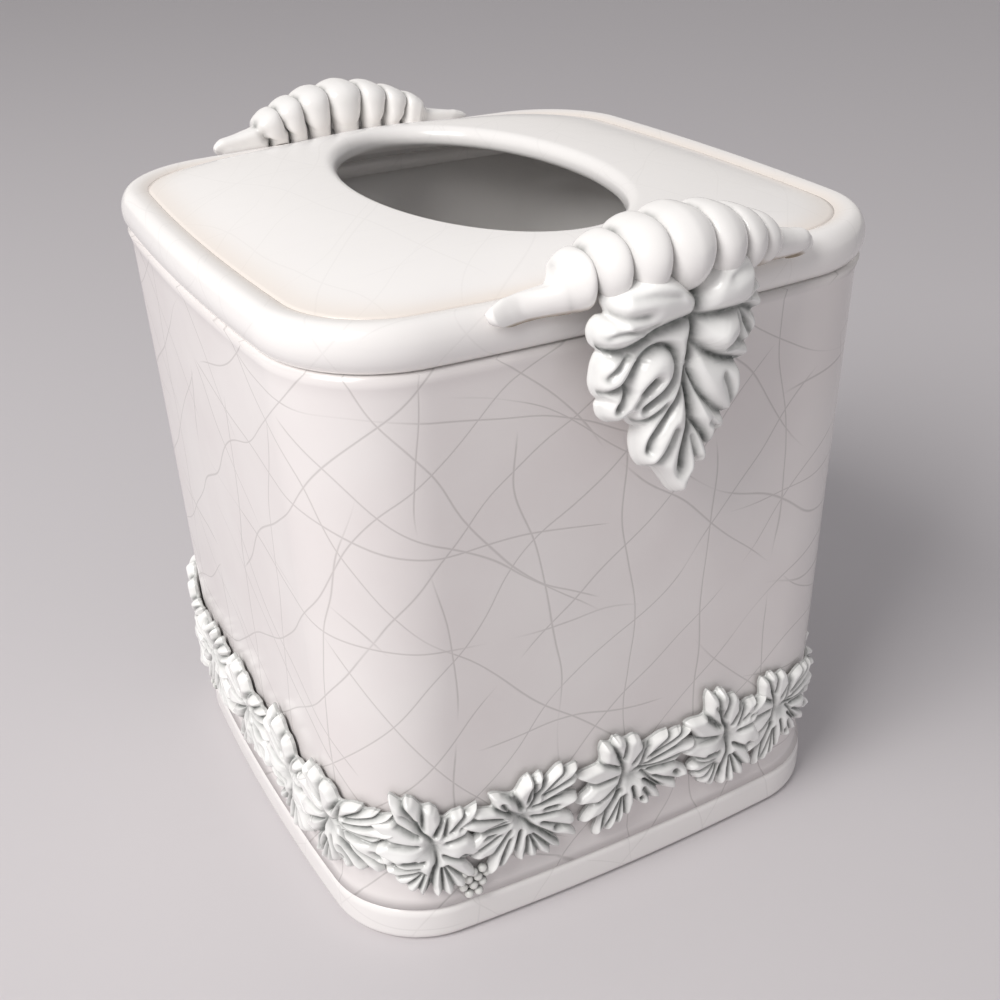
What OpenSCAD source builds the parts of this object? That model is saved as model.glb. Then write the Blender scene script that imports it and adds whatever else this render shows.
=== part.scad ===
// Boutique tissue box cover in crackle-glazed earthenware. Four bowed walls lean in towards a moulded
// foot, and a rolled rim carries a gently domed top with an oval mouth. Two lobed crests sit on the
// front and rear edges of the rim, each with a vine leaf hanging below it. A garland of twenty small
// vine leaves and four bunches of grapes runs round the walls, just above the foot.
// Front is -Y, up is +Z, and the origin is the middle of the foot, on the table.

/* [Cover] */
// Width across the rolled rim, the same both ways
rim_w = 146; // [136:1:160]
// Height from the table to the crown of the rolled rim
cover_h = 155; // [140:1:175]
// How far the middle of each side bows out past its ends
side_bow = 4; // [2:0.5:7]
// Radius of the rim's outline at the four corners
corner_r = 28; // [24:1:32]

/* [Walls] */
// Thickness of the walls
wall_t = 5; // [4:0.5:6.5]
// How far each wall leans in, from the rim down to the foot
wall_lean = 3.8; // [1:0.2:6]

/* [Rim] */
// Height of the rolled rim
rim_bead_h = 10; // [8:0.5:13]
// Width of the rolled rim, from its nose to the edge of the top panel
rim_bead_w = 7; // [6:0.5:9]
// How far the rim's nose stands out past the wall below it
rim_overhang = 1.5; // [0.5:0.25:2.5]
// Width of the ledge inside the rim that the top panel lies on
rim_ledge_w = 3; // [2:0.5:5]
// How far the edge of the top panel lies below the rim's crown
rim_step = 0.8; // [0.4:0.1:1.5]

/* [Top] */
// Thickness of the top panel
top_t = 5; // [4:0.5:6.5]
// Rise of the dome, from the panel's edge to the brim of the mouth
top_rise = 5.5; // [2:0.5:8]
// Length of the mouth, front to rear
mouth_l = 99; // [78:1:104]
// Width of the mouth
mouth_w = 55; // [44:1:64]
// Radius of the mouth's rounded brim
mouth_round = 3; // [1.5:0.5:4]

/* [Foot] */
// Height of the foot band
foot_h = 10; // [8:0.5:14]
// How far the foot band stands out past the wall above it
foot_step = 1.5; // [0.5:0.25:2.5]
// Radius of the foot band's rounded edges
foot_round = 2.5; // [1.5:0.25:3.5]

/* [Crest] */
// Length of a crest, from tip to tip
crest_l = 74; // [60:1:84]
// How far the middle of a crest stands out past the rim's nose
crest_reach = 16; // [12:0.5:18]
// How high the middle of the front crest rises above the rim's crown
crest_rise = 16; // [12:0.5:20]
// How high the middle of the rear crest rises above the rim's crown
rear_crest_rise = 13.5; // [11:0.5:20]
// How far the tips of a crest hang below the rim's crown
crest_drop = 2.5; // [1:0.25:4]
// Thickness of a crest's thin tail
crest_tail_d = 3; // [2:0.25:4]
// How far a crest sits to the right of its side's middle, seen from outside
crest_off = 1.2; // [0:0.2:3]
// How far the back of a crest lies in from the rim's nose
crest_set = 3.5; // [2:0.25:5]
// Depth of the grooves between a crest's lobes
crest_groove = 2; // [1:0.2:3]

/* [Hanging leaf] */
// Width of the leaf that hangs below a crest
leaf_w = 38; // [32:1:44]
// Length of that leaf, from the level of the rim's crown down to its tip
leaf_l = 42.5; // [34:0.5:50]
// Thickness of that leaf where it swells most
leaf_t = 9; // [6:0.5:10]
// How far that leaf's back stands out past the rim's nose
leaf_off = 5.5; // [2:0.5:7]

/* [Garland] */
// Height of the leaves' middles above the table
garland_z = 32.8; // [30:0.2:40]
// Length of a leaf's longest finger, from the leaf's middle
garland_reach = 16.6; // [12:0.2:17]
// Thickness of a leaf where it swells most
garland_t = 4.6; // [3:0.2:6]
// Diameter of one grape
grape_d = 2.2; // [1.6:0.1:2.6]
// Height of the lowest row of grapes above the foot band
grape_rise = 2.4; // [2:0.2:5]

/* [Hidden] */
garland_leaves_per_side = 5;
sides = 4;
right_angle = 90;
turns_per_side = right_angle;
front_turn = -right_angle;

// Gap between an ornament and what it is luted on to
seat_gap = 0.25;
// Gap between a crest and the leaf that hangs below it
leaf_gap = 0.3;

glaze = "#EFECE7";
leaf_glaze = "#D5D6D0";
grape_glaze = "#C9CBC2";

rim_half = rim_w / 2;
rim_z = cover_h - rim_bead_h;
panel_z = cover_h - rim_step;

// The rim's outline is four shallow side arcs joined by four corner arcs. Every other outline of the
// cover runs parallel to it, so all of them share these centres and angles.
side_r = (rim_half * rim_half + side_bow * side_bow) / (2 * side_bow);
side_c = rim_half - side_r;
corner_c = (2 * side_c + sqrt(4 * side_c * side_c
    - 8 * (side_c * side_c - (side_r - corner_r) * (side_r - corner_r)))) / 4;
side_turn = right_angle - atan2(corner_c - side_c, corner_c);

// Quarter turn of the side that faces a direction
function facing(turn) = turns_per_side * floor((turn + turns_per_side / 2) / turns_per_side);

// Point of the outline that lies inset inside the rim's and faces the direction turn, seen from above
function outline_point(turn, inset) =
    let (base = facing(turn), local = turn - base, on_side = abs(local) <= side_turn,
         cx = on_side ? side_c : corner_c,
         cy = on_side ? 0 : sign(local) * corner_c,
         r = (on_side ? side_r : corner_r) - inset,
         x = cx + r * cos(local), y = cy + r * sin(local))
    [x * cos(base) - y * sin(base), x * sin(base) + y * cos(base)];

// Directions of the points that an outline is drawn with: side by side, with its following corner
side_steps = 6;
corner_steps = 12;
outline_turns = [for (base = [0:sides - 1]) each concat(
    [for (i = [0:side_steps - 1]) base * turns_per_side - side_turn + 2 * side_turn * i / side_steps],
    [for (i = [0:corner_steps - 1])
        base * turns_per_side + side_turn + (turns_per_side - 2 * side_turn) * i / corner_steps])];

// Closed band of rings, each ring running once round the cover and the last one joining the first
module closed_band(rings) {
    count = len(rings);
    around = len(rings[0]);
    function at(i, j) = (i % count) * around + j % around;
    polyhedron(
        points = [for (ring = rings) each ring],
        faces = [for (i = [0:count - 1], j = [0:around - 1]) each
            [[at(i, j), at(i + 1, j), at(i + 1, j + 1)], [at(i, j), at(i + 1, j + 1), at(i, j + 1)]]],
        convexity = 6);
}

// Ring of the cover that lies inset inside the rim's outline, at the height z
function cover_ring(inset, z) = [for (turn = outline_turns) concat(outline_point(turn, inset), z)];

// Band whose section is a list of [inset, z], from the outer face up and back down the inner one
module outline_band(section) {
    closed_band([for (p = section) cover_ring(p[0], p[1])]);
}

// Quarter or half round of a section: points [inset, z] from one angle to another, 90 pointing up
arc_steps = 4;
function section_arc(inset, z, wide, high, from, to) =
    [for (i = [0:arc_steps]) let (a = from + (to - from) * i / arc_steps)
        [inset - wide * cos(a), z + high * sin(a)]];

wall_top_inset = rim_overhang;
wall_foot_inset = rim_overhang + wall_lean;
foot_inset = wall_foot_inset - foot_step;
// How far inside the rim's outline the outer face of the wall lies at a height
function wall_inset(z) =
    wall_foot_inset + (wall_top_inset - wall_foot_inset) * (z - foot_h) / (rim_z - foot_h);

module wall_shell() {
    color(glaze) outline_band([
        [wall_foot_inset, foot_h], [wall_top_inset, rim_z],
        [wall_top_inset + wall_t, rim_z], [wall_foot_inset + wall_t, foot_h]]);
}

module foot_band() {
    inner = wall_foot_inset + wall_t;
    edge = foot_inset + foot_round;
    color(glaze) outline_band(concat(
        [[inner, 0]],
        section_arc(edge, foot_round, foot_round, foot_round, front_turn, 0),
        section_arc(edge, foot_h - foot_round, foot_round, foot_round, 0, right_angle),
        [[inner, foot_h]]));
}

// The rim's nose is half an ellipse, as wide as half of the bead and as high as all of it
nose_w = rim_bead_w / 2;
nose_h = rim_bead_h / 2;
panel_seat_z = panel_z - top_t;

module rim_bead() {
    inner = rim_bead_w + rim_ledge_w;
    color(glaze) outline_band(concat(
        [[inner, rim_z]],
        section_arc(nose_w, rim_z + nose_h, nose_w, nose_h, front_turn, 0),
        section_arc(nose_w, rim_z + nose_h, nose_w, nose_h, right_angle / arc_steps, right_angle),
        [[rim_bead_w, panel_z], [rim_bead_w, panel_seat_z], [inner, panel_seat_z]]));
}

// Height of the rim's upper face, as far as a point lies outside its nose
function rim_top(out) =
    out <= -nose_w ? cover_h
    : out < 0 ? rim_z + nose_h + nose_h * sqrt(1 - pow((out + nose_w) / nose_w, 2))
    : rim_z;

// Point of an oval that goes with a point of an outline
function oval_point(p, half_w, half_l) =
    let (a = atan2(p[1], p[0])) [half_w * cos(a), half_l * sin(a)];

// Ring between the panel's edge and the oval of the brim: share 0 is the edge and 1 is the oval
function panel_ring(share, grow, z, edge_inset) = [for (turn = outline_turns)
    let (edge = outline_point(turn, edge_inset),
         oval = oval_point(edge, mouth_w / 2 + grow, mouth_l / 2 + grow))
    concat(edge + (oval - edge) * share, z)];

dome_shares = [0, 0.3, 0.65, 1];
function dome_z(share) = panel_z + top_rise * share * (2 - share);

module top_panel() {
    brim_z = panel_z + top_rise;
    color(glaze) closed_band(concat(
        [for (s = dome_shares) panel_ring(s, mouth_round, dome_z(s), rim_bead_w)],
        [for (i = [1:arc_steps - 1]) let (a = right_angle * i / arc_steps)
            panel_ring(1, mouth_round * (1 - sin(a)), brim_z - mouth_round * (1 - cos(a)), rim_bead_w)],
        [panel_ring(1, 0, brim_z - mouth_round, rim_bead_w),
         panel_ring(1, 0, brim_z - top_t, rim_bead_w)],
        [panel_ring(1 / 2, 0, panel_seat_z + top_rise * 2 / 3, rim_bead_w + rim_ledge_w),
         panel_ring(0, 0, panel_seat_z, rim_bead_w + rim_ledge_w),
         panel_ring(0, 0, panel_seat_z, rim_bead_w)]));
}

// Point of the front edge: along it to the right, out past the rim's nose, and at the height z
function front_point(along, out, z) =
    concat(outline_point(front_turn + along / side_r * right_angle * 2 / PI, -out), z);

// Grooves between a crest's seven lobes and the swell of its body, as shares of half its length. Seen
// from outside, the left tail is thin and the right one thick.
crest_groove_shares = [-0.62, -0.49, -0.327, -0.13, 0.13, 0.351, 0.527, 0.7];
crest_swell_shares = [
    [-1, 0.04], [-0.985, 0.07], [-0.95, 0.09], [-0.8, 0.12], [-0.66, 0.15], [-0.635, 0.3],
    [-0.62, 0.46], [-0.555, 0.58], [-0.49, 0.66], [-0.41, 0.75], [-0.327, 0.84], [-0.23, 0.91],
    [-0.13, 0.97], [0, 1], [0.13, 0.97], [0.24, 0.93], [0.351, 0.86], [0.44, 0.79],
    [0.527, 0.71], [0.61, 0.62], [0.69, 0.5], [0.7, 0.42], [0.74, 0.33], [0.85, 0.25],
    [0.94, 0.2], [0.975, 0.14], [1, 0.04]];
// Places of the rings along each lobe, as shares of the lobe, and the rings of each tail
lobe_ring_shares = [0, 0.12, 0.35, 0.65, 0.88];
left_tail_shares = [-1, -0.985, -0.95, -0.8, -0.66, -0.635];
right_tail_shares = [0.7, 0.74, 0.85, 0.94, 0.975, 1];
crest_lobes = len(crest_groove_shares) - 1;
crest_station_shares = concat(left_tail_shares,
    [for (i = [0:crest_lobes - 1], s = lobe_ring_shares)
        crest_groove_shares[i] + (crest_groove_shares[i + 1] - crest_groove_shares[i]) * s],
    right_tail_shares);

function crest_swell(share) = lookup(share, crest_swell_shares);

// Depth share of the groove at a station: 1 in the groove and 0 on the back of a lobe
function groove_at(share) =
    let (before = [for (g = crest_groove_shares) if (g <= share) g],
         after = [for (g = crest_groove_shares) if (g > share) g],
         inside = len(before) > 0 && len(after) > 0,
         from = inside ? before[len(before) - 1] : share,
         to = inside ? after[0] : share + 1,
         place = inside ? 2 * (share - from) / (to - from) - 1 : 0)
    inside ? 1 - sqrt(1 - pow(place, 2)) : share == crest_groove_shares[crest_lobes] ? 1 : 0;

// The crest's section at a station is an oval box: [middle out, middle z, half depth, half height].
// Towards the tips it moves out over the rim's nose and hangs lower.
tail_swell_share = 0.5;
tail_shift_share = 1.2;
tip_swell_share = 0.09;
middle_drop_share = 0.25;
function crest_section(share, rise) =
    let (swell = crest_swell(share), tail = 1 - min(1, swell / tail_swell_share),
         back = -crest_set * (1 - tail_shift_share * tail),
         front = max(crest_reach * swell, back + crest_tail_d * min(1, swell / tip_swell_share)),
         low = -crest_drop * (middle_drop_share + (1 - middle_drop_share) * tail), high = rise * swell)
    [(front + back) / 2, cover_h + (high + low) / 2, (front - back) / 2, (high - low) / 2];

// Height of a crest's underside above a place in front of the rim
function crest_underside(along, out, rise) =
    let (s = crest_section((along - crest_off) / (crest_l / 2), rise), place = (out - s[0]) / s[2])
    abs(place) < 1 ? s[1] - s[3] * sqrt(1 - place * place) : cover_h + rise;

crest_around = 16;
// The back of the section is squarer than its front and its foot follows the rim's nose. Low down the
// section draws in towards the crest's middle, most of all at the back.
back_square_share = 0.62;
draw_in_share = 0.22;
function squared(value, power) = sign(value) * pow(abs(value), power);
function crest_point(share, angle, rise) =
    let (s = crest_section(share, rise), groove = crest_groove * crest_swell(share) * groove_at(share),
         power = cos(angle) < 0 ? back_square_share : 1,
         low_back = pow((1 - sin(angle)) / 2, 2) * (2 - cos(angle)) / 3,
         out = s[0] + (s[2] - groove) * squared(cos(angle), power),
         z = s[1] + (s[3] - groove) * squared(sin(angle), power),
         seat = rim_top(out) + seat_gap)
    front_point(crest_off + share * crest_l / 2 * (1 - draw_in_share * low_back), out,
        out >= 0 ? z : sin(angle) < -1 / 2 ? max(s[1] - s[3], seat) : max(z, seat));

// Middle of a ring of points
function ring_middle(ring) =
    [for (k = [0:2]) [for (p = ring) p[k]] * [for (p = ring) 1] / len(ring)];

// Closed tube through rings of points, with a fan from an end point over each of its two ends
module capped_tube(rings, ends) {
    count = len(rings);
    around = len(rings[0]);
    last = (count - 1) * around;
    polyhedron(
        points = concat([for (ring = rings) each ring], ends),
        faces = concat(
            [for (i = [0:count - 2], j = [0:around - 1]) let (a = i * around, n = (j + 1) % around) each
                [[a + j, a + around + n, a + n], [a + j, a + around + j, a + around + n]]],
            [for (j = [0:around - 1]) [j, (j + 1) % around, count * around]],
            [for (j = [0:around - 1]) [last + (j + 1) % around, last + j, count * around + 1]]),
        convexity = 8);
}

module crest(rise) {
    rings = [for (share = crest_station_shares)
        [for (k = [0:crest_around - 1]) crest_point(share, 360 * k / crest_around, rise)]];
    color(glaze) capped_tube(rings, [ring_middle(rings[0]), ring_middle(rings[len(rings) - 1])]);
}

module front_crest() { crest(crest_rise); }
module rear_crest() { rotate(2 * right_angle) crest(rear_crest_rise); }

// Leaf made of a back that lies along what carries it, a thin edge all round and a face that swells
// inside its outline. The outline is a list of [x, z, swell] round the middle, the rings lie at
// shares of the way out, and place() puts a point of the leaf where it belongs.
leaf_back_shares = [0.33, 0.67, 1];
leaf_face_shares = [1, 0.8, 0.45];
module leaf_solid(outline, middle, thickness, edge_share, face_swells, middle_swell, place) {
    edge = thickness * edge_share;
    function ring(share, swell) = [for (p = outline)
        let (q = middle + ([p[0], p[1]] - middle) * share)
        place(q[0], q[1], swell < 0 ? 0 : edge + (thickness - edge) * swell * p[2])];
    capped_tube(
        concat([for (share = leaf_back_shares) ring(share, -1)],
            [for (r = [0:len(leaf_face_shares) - 1]) ring(leaf_face_shares[r], face_swells[r])]),
        [place(middle[0], middle[1], 0), place(middle[0], middle[1], thickness * middle_swell)]);
}

// Outline of the hanging leaf, clockwise seen from the front: shares of half its width to the right,
// shares of its length down from the rim's crown, and how much the face swells towards that point
hanging_leaf_shares = [
    [0, -0.02, 0.5], [0.18, -0.05, 0.8], [0.37, -0.1, 1], [0.52, -0.06, 0.9], [0.66, -0.1, 1],
    [0.82, -0.04, 0.8],
    [0.94, 0.09, 0.6], [0.96, 0.19, 0.5], [0.86, 0.24, 0.4], [0.96, 0.34, 0.6], [0.92, 0.45, 0.6],
    [0.74, 0.48, 0.35], [0.76, 0.58, 0.8], [0.66, 0.7, 0.8], [0.52, 0.73, 0.4], [0.48, 0.82, 0.7],
    [0.36, 0.9, 0.7], [0.26, 0.89, 0.4], [0.18, 0.93, 0.7], [0.02, 1, 0.8], [-0.12, 0.94, 0.7],
    [-0.24, 0.85, 0.4], [-0.34, 0.85, 0.8], [-0.5, 0.76, 0.8], [-0.56, 0.66, 0.6], [-0.58, 0.57, 0.3],
    [-0.72, 0.54, 0.6], [-0.86, 0.52, 0.6], [-0.9, 0.43, 0.5], [-1, 0.34, 0.8], [-1, 0.26, 0.7],
    [-0.92, 0.19, 0.4], [-1.03, 0.12, 0.9], [-0.98, 0.03, 1], [-0.84, -0.06, 0.9], [-0.66, -0.1, 1],
    [-0.52, -0.06, 0.9], [-0.37, -0.1, 1], [-0.18, -0.05, 0.8]];
hanging_leaf_middle_shares = [0, 0.38];
leaf_edge_share = 0.4;
leaf_swells = [0, 0.75, 1];
leaf_middle_share = 0.72;

module hanging_leaf(rise) {
    half = leaf_w / 2;
    function set_down(p) = [p[0] * half, -p[1] * leaf_l, p[2]];
    color(leaf_glaze) leaf_solid(
        [for (p = hanging_leaf_shares) set_down(p)],
        [hanging_leaf_middle_shares[0] * half, -hanging_leaf_middle_shares[1] * leaf_l],
        leaf_t, leaf_edge_share, leaf_swells, leaf_middle_share,
        function(x, z, out) let (o = out + leaf_off)
            front_point(x, o, min(cover_h + z, crest_underside(x, o, rise) - leaf_gap)));
}

module front_leaf() { hanging_leaf(crest_rise); }
module rear_leaf() { rotate(2 * right_angle) hanging_leaf(rear_crest_rise); }

// The garland follows the wall. Its leaves share the outline's length evenly, measured at mid relief.
garland_inset = wall_inset(garland_z) - garland_t / 2;
half_side_l = (side_r - garland_inset) * side_turn * PI / 180;
half_corner_l = (corner_r - garland_inset) * (right_angle / 2 - side_turn) * PI / 180;
garland_side_l = 2 * (half_side_l + half_corner_l);
garland_pitch = garland_side_l / garland_leaves_per_side;

// Direction that the wall faces at a distance along it from the middle of its side
function wall_turn(along) =
    let (side = floor(along / garland_side_l + 1 / 2), local = along - side * garland_side_l,
         past = max(0, abs(local) - half_side_l))
    side * turns_per_side + sign(local) * (min(abs(local), half_side_l) / (side_r - garland_inset)
        + past / (corner_r - garland_inset)) * 180 / PI;

// Point that stands out from the wall, at a distance along it and a height
function wall_point(along, z, out) =
    concat(outline_point(front_turn + wall_turn(along), wall_inset(z) - seat_gap - out), z);

// Fingers of a garland leaf, clockwise from the top one: direction, length as a share of the longest,
// and half the angle that the finger fills
garland_finger_shares = [
    [14, 0.7, 13], [42, 0.76, 13], [68, 0.68, 11], [98, 0.74, 15], [133, 0.98, 15], [160, 0.97, 11],
    [184, 1, 12], [208, 0.95, 12], [240, 0.7, 14], [278, 0.89, 11], [306, 0.84, 13], [336, 0.78, 14]];
notch_share = 0.62;
garland_edge_share = 0.34;
garland_swells = [0, 0.8, 1];
garland_middle_share = 0.55;

// Points of one finger: [x, z, swell] at its tip, at its shoulders and in the notch before it
function finger_points(finger) =
    let (reach = garland_reach * finger[1])
    [for (p = [[-1, notch_share, 0.25], [-0.62, 0.9, 0.8], [0, 1, 0.9], [0.62, 0.9, 0.8]])
        let (a = finger[0] + finger[2] * p[0])
        [reach * p[1] * sin(a), reach * p[1] * cos(a), p[2]]];

module garland_leaf(i) {
    along = (i - 1 - (garland_leaves_per_side - 1) / 2) * garland_pitch;
    color(leaf_glaze) leaf_solid(
        [for (finger = garland_finger_shares) each finger_points(finger)],
        [0, 0], garland_t, garland_edge_share, garland_swells, garland_middle_share,
        function(x, z, out) wall_point(along + x, garland_z + z, out));
}

// Bunch of grapes between the first and second leaves of a side: rows of touching balls
grape_row_counts = [2, 3, 4, 3];
grape_place_share = 0.44;
module grape_bunch(i) {
    pitch = grape_d + seat_gap;
    middle = (i - 1) * garland_side_l - 2 * garland_pitch + garland_pitch * grape_place_share;
    color(grape_glaze)
        for (row = [0:len(grape_row_counts) - 1], k = [0:grape_row_counts[row] - 1])
            let (along = middle + (k - (grape_row_counts[row] - 1) / 2) * pitch,
                 z = foot_h + grape_rise + row * pitch * sin(60))
                translate(wall_point(along, z, grape_d / 2)) sphere(d = grape_d, $fn = 32);
}

wall_shell();
foot_band();
rim_bead();
top_panel();
front_crest();
rear_crest();
front_leaf();
rear_leaf();
for (i = [1:sides * garland_leaves_per_side])
    garland_leaf(i);
for (i = [1:sides])
    grape_bunch(i);
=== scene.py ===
# %% [markdown]
# # A glazed tissue box cover
# The real object is an earthenware cover that drops over an upright box of tissues. Its maker slip-casts
# the body, presses leaves and grapes into small moulds, lutes them on with wet clay, and glazes it all
# with an off-white glaze that crazes into fine lines. This lesson builds each piece as a surface worked
# out with numpy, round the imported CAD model, and gives it a glaze made of nodes.

# %% Load the frame
import bpy
import numpy as np
from mathutils import Matrix, Vector


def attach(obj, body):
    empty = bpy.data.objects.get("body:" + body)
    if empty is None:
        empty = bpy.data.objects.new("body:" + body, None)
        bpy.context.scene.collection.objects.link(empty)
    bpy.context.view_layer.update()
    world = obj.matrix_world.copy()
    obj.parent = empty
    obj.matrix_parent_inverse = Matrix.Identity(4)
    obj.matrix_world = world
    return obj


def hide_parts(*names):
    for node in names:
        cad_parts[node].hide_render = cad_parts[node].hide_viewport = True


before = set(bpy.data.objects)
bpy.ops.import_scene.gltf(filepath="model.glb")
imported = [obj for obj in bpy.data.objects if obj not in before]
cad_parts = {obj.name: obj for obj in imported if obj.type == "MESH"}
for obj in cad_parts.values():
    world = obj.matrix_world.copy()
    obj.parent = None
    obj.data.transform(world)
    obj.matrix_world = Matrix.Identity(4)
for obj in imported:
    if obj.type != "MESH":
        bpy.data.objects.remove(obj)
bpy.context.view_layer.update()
MM = 0.001

# %% [markdown]
# ## One outline for the whole body
# Seen from above, the cover is a bowed square: four shallow side arcs joined by four corner arcs. A
# potter's template would be drawn the same way, and every moulding of the body runs parallel to it. So
# one function gives the outline, and an inset moves it in or out, which only changes the arcs' radii.

# %% The outline
RIM_HALF, SIDE_BOW, CORNER_R = 73.0, 4.0, 28.0
RIM_Z, COVER_H, PANEL_Z, FOOT_H = 145.0, 155.0, 154.2, 10.0
SIDE_R = (RIM_HALF ** 2 + SIDE_BOW ** 2) / (2 * SIDE_BOW)
SIDE_C = RIM_HALF - SIDE_R
CORNER_C = (2 * SIDE_C + np.sqrt(4 * SIDE_C ** 2 - 8 * (SIDE_C ** 2 - (SIDE_R - CORNER_R) ** 2))) / 4
SIDE_TURN = 90 - np.degrees(np.arctan2(CORNER_C - SIDE_C, CORNER_C))


def outline(turn, inset):
    """x and y of the outline where it faces the direction turn in degrees: the centre of that side's or
    corner's arc, plus (radius - inset) times the direction."""
    base = 90 * np.floor((turn + 45) / 90)
    local = turn - base
    on_side = np.abs(local) <= SIDE_TURN
    radius = np.where(on_side, SIDE_R, CORNER_R) - inset
    x = np.where(on_side, SIDE_C, CORNER_C) + radius * np.cos(np.radians(local))
    y = np.where(on_side, 0, np.sign(local) * CORNER_C) + radius * np.sin(np.radians(local))
    c, s = np.cos(np.radians(base)), np.sin(np.radians(base))
    return x * c - y * s, x * s + y * c


side_steps, corner_steps = 26, 30
one_side = np.concatenate([
    np.linspace(-SIDE_TURN, SIDE_TURN, side_steps, endpoint=False),
    np.linspace(SIDE_TURN, 90 - SIDE_TURN, corner_steps, endpoint=False)])
TURNS = np.concatenate([one_side + 90 * side for side in range(4)])
print("outline:", len(TURNS), "points, side arcs of", round(SIDE_R, 1), "mm radius")

# %% [markdown]
# ## From a grid of points to a mesh
# Each surface below is a grid of points. Neighbours are joined by four-sided faces, a direction that
# runs round is joined to its start, and the open ends of a tube are closed by a fan. The volume that the
# faces enclose comes out negative if they point inwards, and then they are all turned over.

# %% Grid to mesh


def grid_quads(rows, columns, wrap_rows=False):
    """Four-sided faces of a grid whose columns run round; its last row can be joined to its first."""
    i = np.arange(rows if wrap_rows else rows - 1)[:, None]
    j = np.arange(columns)[None, :]
    following, after = (i + 1) % rows, (j + 1) % columns
    return np.stack([i * columns + j, i * columns + after,
                     following * columns + after, following * columns + j], -1).reshape(-1, 4)


def end_fans(rows, columns, first, last):
    """Triangles that close the first and the last row of a tube with one more point each."""
    j, after = np.arange(columns), (np.arange(columns) + 1) % columns
    start = np.stack([after, j, np.full(columns, first)], -1)
    last_row = (rows - 1) * columns
    end = np.stack([last_row + j, last_row + after, np.full(columns, last)], -1)
    return np.concatenate([start, end])


def make_piece(name, points, quads, triangles, slot, node, wash, warm=0.0, craze=1.0):
    """Mesh of points in mm. The attribute wash says where the potter's grey wash stays in the recesses,
    warm where the glaze pools, and craze how strong the craze lines are. Under the crests' tails, wash
    and warm also hold a painted contact shadow, along with the glaze's brown break."""
    halves = np.concatenate([quads[:, [0, 1, 2]], quads[:, [0, 2, 3]], triangles])
    corners = points[halves]
    volume = np.einsum("ij,ij->i", corners[:, 0], np.cross(corners[:, 1], corners[:, 2])).sum() / 6
    if volume < 0:
        quads, triangles = quads[:, ::-1], triangles[:, ::-1]
    mesh = bpy.data.meshes.new(name)
    mesh.from_pydata((points * MM).tolist(), [], quads.tolist() + triangles.tolist())
    for label, values in (("wash", wash), ("warm", warm), ("craze", craze)):
        field = mesh.attributes.new(label, "FLOAT", "POINT")
        values = np.clip(values, 0, 1) * np.ones(len(points))
        field.data.foreach_set("value", values.astype(np.float32))
    mesh.shade_smooth()
    mesh.materials.append(glazes[slot])
    piece = bpy.data.objects.new(name, mesh)
    bpy.context.collection.objects.link(piece)
    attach(piece, "root")
    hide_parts(node)
    print(name + ":", len(halves), "triangles,", round(abs(volume) / 1000, 2), "cm3")


def make_tube(name, points, slot, node, wash, end_wash, warm=None):
    """Piece from rows of points that run round, closed by a point in the middle of each end row."""
    rows, columns = points.shape[:2]
    count = rows * columns
    ends = np.stack([points[0].mean(0), points[-1].mean(0)])
    make_piece(name, np.concatenate([points.reshape(-1, 3), ends]), grid_quads(rows, columns),
               end_fans(rows, columns, count, count + 1), slot, node, np.append(wash, end_wash),
               0.0 if warm is None else np.append(warm, [0, 0]), craze=0.0)


no_triangles = np.zeros((0, 3), int)

# %% [markdown]
# ## The glazes
# The glaze is a lead-free tin-white earthenware glaze: glass a few tenths of a millimetre thick, glossy
# and slightly warm, over a pale clay. It was fired to craze, so it is crossed by fine lines that the
# potter rubbed with a grey-green stain, and the same stain was washed over the ornaments and wiped off,
# so that it stays in the hollows. All of that is colour and a little relief under one smooth gloss.

# %% Node helper and colours


def linear(hex_colour):
    """Linear RGBA of an sRGB hex colour: s / 12.92 in the darks, ((s + 0.055) / 1.055)^2.4 above."""
    s = np.array([int(hex_colour[i:i + 2], 16) for i in (1, 3, 5)]) / 255
    rgb = np.where(s <= 0.04045, s / 12.92, ((s + 0.055) / 1.055) ** 2.4)
    return [float(v) for v in rgb] + [1.0]


def add(tree, kind, inputs=None, **settings):
    """Adds a node with its settings, and gives each named or numbered input a value or a link."""
    node = tree.nodes.new(kind)
    for key, value in settings.items():
        setattr(node, key, value)
    for key, value in (inputs or {}).items():
        if isinstance(value, bpy.types.NodeSocket):
            tree.links.new(value, node.inputs[key])
        else:
            node.inputs[key].default_value = value
    return node


def maths(tree, operation, *inputs, **settings):
    """Result of a math node."""
    node = add(tree, "ShaderNodeMath", dict(enumerate(inputs)), operation=operation, **settings)
    return node.outputs[0]


def dot(tree, a, b):
    """Dot product of two vectors."""
    return add(tree, "ShaderNodeVectorMath", {0: a, 1: b}, operation="DOT_PRODUCT").outputs["Value"]


def remap(tree, value, low, high, new_low=0.0, new_high=1.0, **settings):
    """The range from low to high stretched to a new range, with the value kept inside it."""
    return add(tree, "ShaderNodeMapRange", {
        "Value": value, "From Min": low, "From Max": high, "To Min": new_low, "To Max": new_high},
        **settings).outputs[0]


def noise(tree, place, size, detail):
    """Smooth noise around a half, whose swells are about size mm across."""
    inputs = {"Vector": place, "Scale": 1 / size, "Detail": detail}
    return add(tree, "ShaderNodeTexNoise", inputs).outputs[0]


def blend(tree, share, a, b):
    """Colour a, moved towards colour b by a share."""
    node = add(tree, "ShaderNodeMix", {"Factor": share, "A": a, "B": b}, data_type="RGBA")
    return node.outputs["Result"]


def attribute(tree, label):
    """Value that make_piece wrote on the mesh."""
    return add(tree, "ShaderNodeAttribute", attribute_name=label).outputs["Fac"]


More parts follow.
